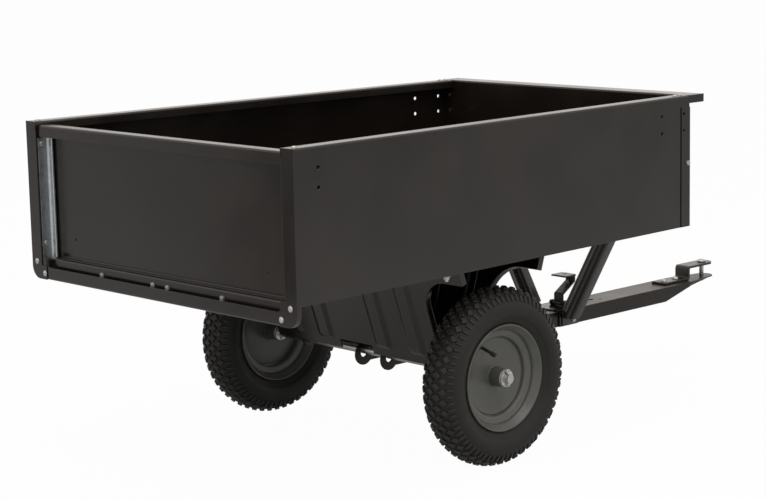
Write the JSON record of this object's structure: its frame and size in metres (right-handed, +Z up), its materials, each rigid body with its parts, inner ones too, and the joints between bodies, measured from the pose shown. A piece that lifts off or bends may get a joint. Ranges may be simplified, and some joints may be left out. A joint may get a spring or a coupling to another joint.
{
  "type": "tipping garden cart",
  "caption": "Tow-behind tipping cart: tapered sheet-steel bed with a lift-out tailgate on pneumatic wheels, with a foot latch and a channel drawbar ending in a pin hitch.",
  "frame": {"origin": "on the ground under the middle of the cart's outline", "axes": "+X forward along the drawbar, +Y to the cart's left, +Z up"},
  "size_m": [1.8922, 0.9, 0.7703],
  "materials": {
    "dark_paint": "satin brown-black powder coat",
    "galvanised": "dull hot-dip galvanised",
    "zinc": "bright zinc plate",
    "bright_steel": "bright drawn bar",
    "rim_grey": "semi-gloss grey paint",
    "tyre_black": "matt black rubber",
    "tube_rubber": "soft black rubber",
    "nylon": "off-white moulded nylon"
  },
  "bodies": {
    "drawbar": {"tongue": "dark_paint", "hitch_strap": "dark_paint", "hitch_bolts": "zinc"},
    "tailgate": {"tailgate": "dark_paint"},
    "left_wheel": {"left_tyre": "tyre_black", "left_inner_tube": "tube_rubber", "left_rim": "rim_grey", "left_hub": "rim_grey", "left_bushings": "nylon", "left_valve_cap": "tube_rubber"},
    "right_wheel": {"right_tyre": "tyre_black", "right_inner_tube": "tube_rubber", "right_rim": "rim_grey", "right_hub": "rim_grey", "right_bushings": "nylon", "right_valve_cap": "tube_rubber"},
    "latch": {"latch_lever": "dark_paint"},
    "hitch_pin": {"hitch_pin": "zinc"},
    "hairpin": {"hairpin": "zinc"},
    "bed": {"floor_panel": "dark_paint", "left_side_panel": "dark_paint", "right_side_panel": "dark_paint", "front_panel": "dark_paint", "rear_sill": "dark_paint", "left_inner_stop": "dark_paint", "right_inner_stop": "dark_paint", "rear_axle_pan": "dark_paint", "front_axle_pan": "dark_paint", "left_strut": "dark_paint", "right_strut": "dark_paint", "latch_saddle": "dark_paint", "left_tailgate_guide": "galvanised", "right_tailgate_guide": "galvanised", "axle_washers": "galvanised", "latch_pivot_bolt": "zinc", "corner_bolts": "zinc", "sill_bolts": "zinc", "rim_bolts": "zinc", "wrap_bolts": "zinc", "guide_bolts": "zinc", "pan_bolts": "zinc", "strut_bolts": "zinc", "saddle_studs": "zinc", "axle_cotters": "zinc", "axle": "bright_steel"}
  },
  "joints": [
    {"name": "bed_tip", "type": "hinge", "parent": "drawbar", "child": "bed", "pos_m": [-0.31088, 0, 0.2], "axis": [0, -1, 0], "range_deg": [0, 35]},
    {"name": "tailgate_lift", "type": "slide", "parent": "bed", "child": "tailgate", "axis": [0, 0, 1], "range_m": [0, 0.3]},
    {"name": "left_wheel_spin", "type": "hinge", "parent": "bed", "child": "left_wheel", "pos_m": [-0.31088, 0.375, 0.2], "axis": [0, 1, 0], "continuous": true},
    {"name": "right_wheel_spin", "type": "hinge", "parent": "bed", "child": "right_wheel", "pos_m": [-0.31088, -0.375, 0.2], "axis": [0, 1, 0], "continuous": true},
    {"name": "latch_pivot", "type": "hinge", "parent": "bed", "child": "latch", "pos_m": [0.32913, 0, 0.2198], "axis": [0, -1, 0], "range_deg": [0, 15]},
    {"name": "hitch_pin_lift", "type": "slide", "parent": "drawbar", "child": "hitch_pin", "axis": [0, 0, 1], "range_m": [0, 0.0025]},
    {"name": "hairpin_pull", "type": "slide", "parent": "hitch_pin", "child": "hairpin", "axis": [-1, 0, 0], "range_m": [0, 0.04]}
  ]
}
